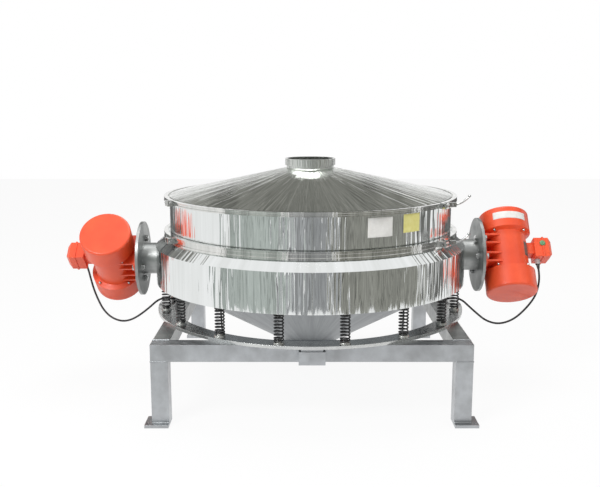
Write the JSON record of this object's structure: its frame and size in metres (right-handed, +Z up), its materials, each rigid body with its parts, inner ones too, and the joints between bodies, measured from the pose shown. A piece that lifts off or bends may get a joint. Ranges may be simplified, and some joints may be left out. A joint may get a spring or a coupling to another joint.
{
  "type": "vibrating sieve",
  "caption": "Round spring-mounted vibrating sieve with a conical lid, a direct discharge cone, side vibration motors and a welded square stand",
  "frame": {"origin": "on the floor, under the middle of the sieve", "axes": "+X through the two motors to the right, +Y to the rear, +Z up"},
  "size_m": [2.1, 1.324, 0.961],
  "materials": {
    "satin_stainless": "satin stainless steel, welded and lightly brushed",
    "mirror_stainless": "mirror-polished stainless steel",
    "screen_wire": "fine woven stainless wire",
    "motor_paint": "gloss orange-red paint on cast iron",
    "spring_black": "black enamelled spring wire",
    "fastener": "bright zinc-plated steel",
    "white_rubber": "white silicone rubber",
    "black_rubber": "black rubber",
    "bare_iron": "bare cast iron",
    "winding": "laminated core with copper winding",
    "bearing_steel": "ground bearing steel"
  },
  "bodies": {
    "frame": {"base_ring": "satin_stainless", "coil_springs": "spring_black", "foot_plates": "satin_stainless", "front_beam": "satin_stainless", "front_left_leg": "satin_stainless", "front_right_leg": "satin_stainless", "left_beam": "satin_stainless", "left_lead": "black_rubber", "left_lead_coil": "black_rubber", "lower_spring_seats": "satin_stainless", "rear_beam": "satin_stainless", "rear_left_leg": "satin_stainless", "rear_right_leg": "satin_stainless", "right_beam": "satin_stainless", "right_lead": "black_rubber", "right_lead_coil": "black_rubber", "ring_brackets": "satin_stainless"},
    "sieve": {"clamp_pivot_pins": "fastener", "discharge_cone": "mirror_stainless", "inlet_collar": "mirror_stainless", "left_cable_gland": "black_rubber", "left_motor_arm": "satin_stainless", "left_motor_bearings": "bearing_steel", "left_motor_bolts": "fastener", "left_motor_end_caps": "motor_paint", "left_motor_housing": "motor_paint", "left_motor_stator": "winding", "left_terminal_box": "motor_paint", "lid": "mirror_stainless", "lid_band_front": "mirror_stainless", "lid_band_rear": "mirror_stainless", "lid_band_side_bolt": "fastener", "lid_gasket": "white_rubber", "lower_gasket": "white_rubber", "lower_shell": "mirror_stainless", "outlet_spout": "mirror_stainless", "right_cable_gland": "black_rubber", "right_motor_arm": "satin_stainless", "right_motor_bearings": "bearing_steel", "right_motor_bolts": "fastener", "right_motor_end_caps": "motor_paint", "right_motor_housing": "motor_paint", "right_motor_stator": "winding", "right_terminal_box": "motor_paint", "screen_band_front": "mirror_stainless", "screen_band_rear": "mirror_stainless", "screen_band_side_bolt": "fastener", "screen_frame": "satin_stainless", "screen_mesh": "screen_wire", "upper_gasket": "white_rubber", "upper_shell": "mirror_stainless", "upper_spring_seats": "satin_stainless"},
    "left_rotor": {"left_motor_shaft": "bearing_steel", "left_eccentric_weights": "bare_iron"},
    "right_rotor": {"right_motor_shaft": "bearing_steel", "right_eccentric_weights": "bare_iron"},
    "screen_bolt": {"screen_swing_bolt": "fastener"},
    "screen_lever": {"screen_clamp_lever": "fastener"},
    "lid_bolt": {"lid_swing_bolt": "fastener"},
    "lid_lever": {"lid_clamp_lever": "fastener"}
  },
  "joints": [
    {"name": "sieve_bounce", "type": "slide", "parent": "frame", "child": "sieve", "axis": [0, 0, 1], "range_m": [-0.006, 0.006], "stiffness_N_per_m": 200000, "springref_m": 0.015, "deforming": ["coil_springs", "left_lead", "right_lead"]},
    {"name": "left_rotor_spin", "type": "hinge", "parent": "sieve", "child": "left_rotor", "pos_m": [-0.862, 0, 0.525], "axis": [0, -0.7071, 0.7071], "continuous": true},
    {"name": "right_rotor_spin", "type": "hinge", "parent": "sieve", "child": "right_rotor", "pos_m": [0.862, 0, 0.541], "axis": [0, 0.5878, 0.809], "continuous": true},
    {"name": "screen_bolt_swing", "type": "hinge", "parent": "sieve", "child": "screen_bolt", "pos_m": [0.52272, -0.3767, 0.6525], "axis": [0, 0, -1], "range_deg": [0, 90]},
    {"name": "screen_lever_throw", "type": "hinge", "parent": "screen_bolt", "child": "screen_lever", "pos_m": [0.55012, -0.33608, 0.6525], "axis": [0, 0, -1], "range_deg": [0, 60]},
    {"name": "lid_bolt_swing", "type": "hinge", "parent": "sieve", "child": "lid_bolt", "pos_m": [0.52023, -0.37502, 0.803], "axis": [0, 0, -1], "range_deg": [0, 90]},
    {"name": "lid_lever_throw", "type": "hinge", "parent": "lid_bolt", "child": "lid_lever", "pos_m": [0.54763, -0.3344, 0.803], "axis": [0, 0, -1], "range_deg": [0, 60]}
  ]
}
